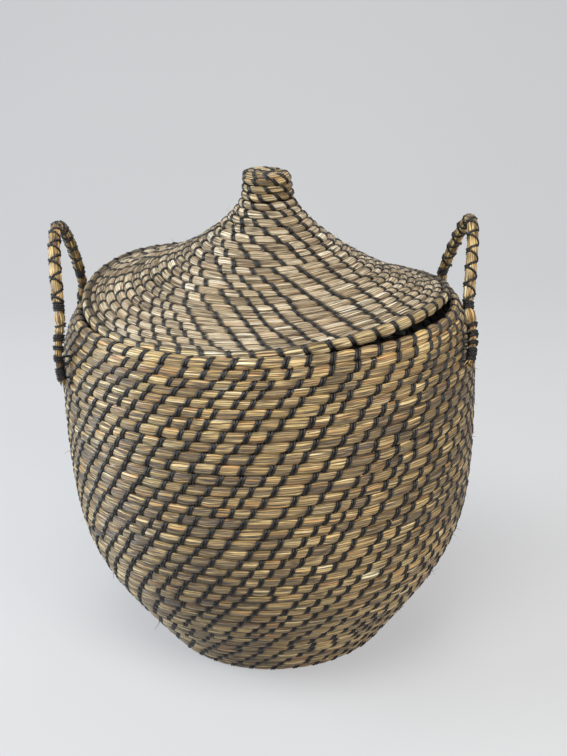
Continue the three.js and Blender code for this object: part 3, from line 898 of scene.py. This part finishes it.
def layHandle(word, shape, route):
    whole = route["whole"]
    rings = np.linspace(0, whole, handle["rings"])
    sides = handle["sides"]
    ring, angle = np.meshgrid(rings, np.arange(sides) * turn / sides, indexing="ij")
    wound = (ring - whole / 2) / handle["pitch"] * turn
    press = np.zeros_like(ring)
    for direction in (1, -1):
        away = np.abs(np.remainder(angle - handle["cross"] - direction * wound + math.pi, turn) - math.pi)
        press = np.maximum(press, np.exp(-(away / handle["biteWide"]) ** 2))
    fromFoot = np.minimum(ring, whole - ring)
    free = soften((fromFoot - lashingTop(shape) + handle["freeBefore"]) / handle["freeOver"])
    tied = np.zeros_like(ring)
    for begin, laps in shape["bands"]:
        half = laps * handle["turnPitch"] / 2
        past = np.abs(fromFoot - (begin + half)) - half
        tied = np.maximum(tied, soften(handle["tieReach"] - past / handle["tieOver"]))
    legWidth = (handle["between"] + (handle["lashed"] - handle["between"]) * tied) * legTaper(fromFoot)
    bulge = (handle["plump"] - handle["bite"] * press) * handle["core"] * free + legWidth * (1 - free)
    bulge *= 1 + (chance.rand(*ring.shape) - 0.5) * handle["uneven"]
    verts = onRoute(route, ring, angle, bulge).reshape(-1, 3)

    grass = newGrass()
    along = rings * handle["perMetre"]
    for k in range(len(rings) - 1):
        hue = (0.5 + handle["toneSway"] * math.sin(k * handle["toneStep"]), 0.3)
        for a in range(sides):
            b = (a + 1) % sides
            low, high = a * handle["lane"], a * handle["lane"] + handle["lane"]
            corners = [k * sides + a, k * sides + b, (k + 1) * sides + b, (k + 1) * sides + a]
            fibre = [(along[k], low), (along[k], high), (along[k + 1], high), (along[k + 1], low)]
            addFace(grass, corners, fibre, [(0.5, 0.0)] * 4, hue)
    addCap(grass, list(range(sides))[::-1], (0.5, 0))
    addCap(grass, [(len(rings) - 1) * sides + a for a in range(sides)], (0.5, 0))
    core = grassPiece("handle_bundle_" + word, verts, grass, handleSeagrass)
    startEdit(core)
    bpy.ops.mesh.select_all(action="SELECT")
    bpy.ops.mesh.normals_make_consistent(inside=False)
    stopEdit()
    finishPiece(core, "basket", "seagrass", "handle_core_" + word)


# the two cords cross on the front and back of the loop, the second over the first
bindingLook = {
    "cord": 0.0010, "lay": 0.0065, "step": 0.0010, "seat": 0.86, "clear": 0.0008, "over": 0.0011, "overWide": 0.5,
}


def bindHandle(word, shape, route):
    top = lashingTop(shape)
    steps = np.arange(top, route["whole"] - top, bindingLook["step"])
    wound = (steps - route["whole"] / 2) / handle["pitch"] * turn
    fromCross = np.remainder(2 * wound + math.pi, turn) - math.pi
    crossing = np.exp(-fromCross ** 2 / bindingLook["overWide"])
    for direction, layer in ((1, "inner"), (-1, "outer")):
        over = bindingLook["over"] * crossing if layer == "outer" else 0
        reach = handle["core"] * bindingLook["seat"] + bindingLook["clear"] + over
        path = onRoute(route, steps, direction * wound + handle["cross"], reach + 0 * steps)
        ends = "%s_%s" % (layer, word)
        cord, lay = bindingLook["cord"], bindingLook["lay"]
        twistedCord("handle_cord_" + ends, [path], cord, lay, "basket", "handle_binding_" + ends)


# lashings: bands of close turns with bare grass between, the lower ones drawn into the wall behind the leg
lashingLook = {
    "cord": 0.00072, "lay": 0.006, "steps": 24, "clear": 0.0008, "wobble": 0.0003, "wobbleRate": 9.1, "stray": 0.0012,
    "tiedShare": 0.5, "tieDeep": 0.0095, "tieMore": 2, "tieEnds": np.array([1, 0.6]),
}


def lashHandle(word, shape, route):
    for leg in ("front", "rear"):
        runs = []
        for begin, laps in shape["bands"]:
            t = np.linspace(0, laps, lashingLook["steps"] * laps + 1)
            at = begin + t * handle["turnPitch"]
            wide = (handle["lashed"] + lashingLook["clear"]) * legTaper(at)
            wide = wide + lashingLook["wobble"] * np.sin(t * lashingLook["wobbleRate"])
            at = at + lashingLook["stray"] * np.sin(t * turn + chance.rand() * turn)
            around = math.pi + t * turn
            if begin < lashingLook["tiedShare"] * route["leg"]:
                gap = mm * (shape["gap"] + lashingLook["tieMore"]) * begin / route["leg"]
                deep = lashingLook["tieEnds"] * (lashingLook["tieDeep"] + gap)
                around = np.concatenate([[math.pi] * 2, around, [around[-1]] * 2])
                at = np.concatenate([[at[0]] * 2, at, [at[-1]] * 2])
                wide = np.concatenate([deep, wide, deep[::-1]])
            runs.append(onRoute(route, route["whole"] - at if leg == "rear" else at, around, wide))
        cord, lay = lashingLook["cord"], lashingLook["lay"]
        twistedCord("%s_leg_lashing_%s" % (leg, word), runs, cord, lay, "basket", "%s_lashing_%s" % (leg, word))


# cut ends of the bundle under each leg
endLook = {
    "count": 34, "inside": 0.004, "within": 0.8, "tuck": 0.002, "flare": 0.2, "stray": 0.4, "bend": 0.6,
    "short": 0.004, "longer": 0.004, "thin": 0.0006, "thicker": 0.0005,
}


def endHandle(word, route):
    roots, ways, bends, lengths = [], [], [], []
    whole = route["whole"]
    onAxis = np.array(0.0)
    for end, inside in ((0.0, endLook["inside"]), (whole, whole - endLook["inside"])):
        base = onRoute(route, end, 0.0, onAxis)
        down = unit(base - onRoute(route, inside, 0.0, onAxis))
        for k in range(endLook["count"]):
            angle, reach = chance.rand() * turn, math.sqrt(chance.rand()) * handle["lashed"] * endLook["within"]
            root = onRoute(route, end, angle, np.array(reach)) - endLook["tuck"] * down
            flare = (root - base) * endLook["flare"] / handle["lashed"]
            roots.append(root)
            ways.append(flare + down + (chance.rand(3) - 0.5) * endLook["stray"])
            bends.append((chance.rand(3) - 0.5) * endLook["bend"])
            lengths.append(endLook["short"] + endLook["longer"] * chance.rand())
    thick = endLook["thin"] + endLook["thicker"] * chance.rand(len(roots))
    growFibres("handle_ends_" + word, roots, ways, bends, lengths, thick, "basket", "seagrass", handleSeagrass)


for word, shape in handleSides.items():
    route = handleRoute(shape)
    layHandle(word, shape, route)
    bindHandle(word, shape, route)
    lashHandle(word, shape, route)
    endHandle(word, route)
print("handles done")

# loose fibres standing out between the stitches
looseLook = {
    "lower": 1.2, "round": 2.4, "root": 0.95, "outside": 1.6, "ahead": 0.02, "out": 0.25, "outMore": 0.5, "stray": 0.7,
    "bendOut": 0.25, "bend": 0.5, "short": 0.004, "longer": 0.009, "thin": 0.00024, "thicker": 0.00026, "low": 0.03,
    "onWall": 520, "onLid": 130, "belowKnob": 2,
}


def looseFibres(name, coil, laps, count, body, slot, material):
    look = looseLook
    roots, ways, bends, lengths = [], [], [], []
    for k in range(count):
        theta = np.array(chance.rand() ** look["lower"] * laps * turn)
        angle = np.array((chance.rand() - 0.5) * look["round"])
        root = onCoil(coil, theta, angle, look["root"])
        out = unit(onCoil(coil, theta, angle, look["outside"]) - root)
        run = unit(onCoil(coil, theta + look["ahead"], angle, look["root"]) - root)
        away = out * (look["out"] + look["outMore"] * chance.rand()) + run * (1 if chance.rand() < 0.5 else -1)
        way = away + (chance.rand(3) - 0.5) * look["stray"]
        bend = out * look["bendOut"] + (chance.rand(3) - 0.5) * look["bend"]
        if root[2] < look["low"]:  # none grows into the floor
            way[2], bend[2] = abs(way[2]), abs(bend[2])
        roots.append(root)
        ways.append(way)
        bends.append(bend)
        lengths.append(look["short"] + look["longer"] * chance.rand() ** 2)
    thick = look["thin"] + look["thicker"] * chance.rand(count)
    growFibres(name, roots, ways, bends, lengths, thick, body, slot, material)


wallLaps, lidLaps = wallCoil["turns"], knobLap - looseLook["belowKnob"]
looseFibres("wall_loose_fibres", wallCoil, wallLaps, looseLook["onWall"], "basket", "seagrass", handleSeagrass)
looseFibres("lid_loose_fibres", lidCoil, lidLaps, looseLook["onLid"], "lid", "pale_seagrass", paleSeagrass)
print("loose fibres done")

# floor and backdrop in one sweep; the camera and reflections see it a little paler than it is lit
stageLook = {
    "colour": paint(130, 131, 130), "cloud": 0.04, "cloudScale": 1.3, "lift": (0.40, 0.40, 0.412), "rough": 0.8,
    "front": -4.0, "back": 2.6, "wide": 9.0, "high": 4.0, "bend": 1.2, "bendSteps": 16,
}
bpy.ops.object.select_all(action="DESELECT")
bpy.ops.mesh.primitive_plane_add(size=1, location=(0, (stageLook["front"] + stageLook["back"]) / 2, 0))
floor = bpy.context.active_object
floor.name = "floor"
floor.scale = (stageLook["wide"], stageLook["back"] - stageLook["front"], 1)
bpy.ops.object.transform_apply(location=True, rotation=True, scale=True)
startEdit(floor)
pickVerts(floor, lambda co: co.y > stageLook["back"] - near)
bpy.ops.mesh.extrude_region_move(TRANSFORM_OT_translate={"value": (0, 0, stageLook["high"])})
pickVerts(floor, lambda co: co.y > stageLook["back"] - near and co.z < near)
bpy.ops.mesh.bevel(offset=stageLook["bend"], segments=stageLook["bendSteps"], affect="EDGES")
stopEdit()
bpy.ops.object.shade_smooth()
floorPaint, floorKit, floorShader = newMaterial("floor paint")
where = floorKit.node("TexCoord", {}, {}, 3)
cloudy = floorKit.node("TexNoise", {}, {"Vector": where, "Scale": stageLook["cloudScale"], "Detail": 2.0})
darker, paler = [(*(by * v for v in stageLook["colour"]), 1) for by in (1 - stageLook["cloud"], 1 + stageLook["cloud"])]
cloudy.blend(darker, paler).feed(floorShader, "Base Color")
floorKit.looked().blend((0, 0, 0, 1), (*stageLook["lift"], 1)).feed(floorShader, "Emission Color")
floorShader.inputs["Emission Strength"].default_value = 1
floorShader.inputs["Roughness"].default_value = stageLook["rough"]
floor.data.materials.append(floorPaint)

# soft studio light: wide lamp overhead, cooler one on the left, one on the right, dim one behind
lampAim = (0, 0, 0.25)
lamps = [
    {"name": "overhead", "place": (-0.2, -1.0, 2.2), "size": 1.3, "power": 38, "tint": (1.0, 0.98, 0.95)},
    {"name": "left", "place": (-1.9, 0.0, 0.85), "size": 1.4, "power": 50, "tint": (0.80, 0.90, 1.0)},
    {"name": "right", "place": (1.6, -1.6, 1.1), "size": 1.2, "power": 35, "tint": (1.0, 0.97, 0.92)},
    {"name": "back", "place": (0.5, 1.3, 1.9), "size": 1.2, "power": 9, "tint": (1.0, 0.98, 0.95)},
]
for lamp in lamps:
    bpy.ops.object.select_all(action="DESELECT")
    bpy.ops.object.light_add(type="AREA", location=lamp["place"])
    light = bpy.context.active_object
    light.name = lamp["name"] + " lamp"
    light.data.shape = "DISK"
    light.data.size = lamp["size"]
    light.data.energy = lamp["power"]
    light.data.color = lamp["tint"]
    way = np.array(lampAim) - np.array(lamp["place"])
    tilt = math.atan2(math.hypot(way[0], way[1]), -way[2])
    light.rotation_euler = (tilt, 0, math.atan2(way[1], way[0]) - math.pi / 2)
skyLook = {"lit": (0.24, 0.25, 0.27, 1), "looked": (0.66, 0.67, 0.69, 1)}
world = bpy.data.worlds.new("studio")
scene.world = world
world.use_nodes = True
skyColour = Wire(world.node_tree).looked().blend(skyLook["lit"], skyLook["looked"])
skyColour.feed(world.node_tree.nodes["Background"], "Color")
print("stage and light set")
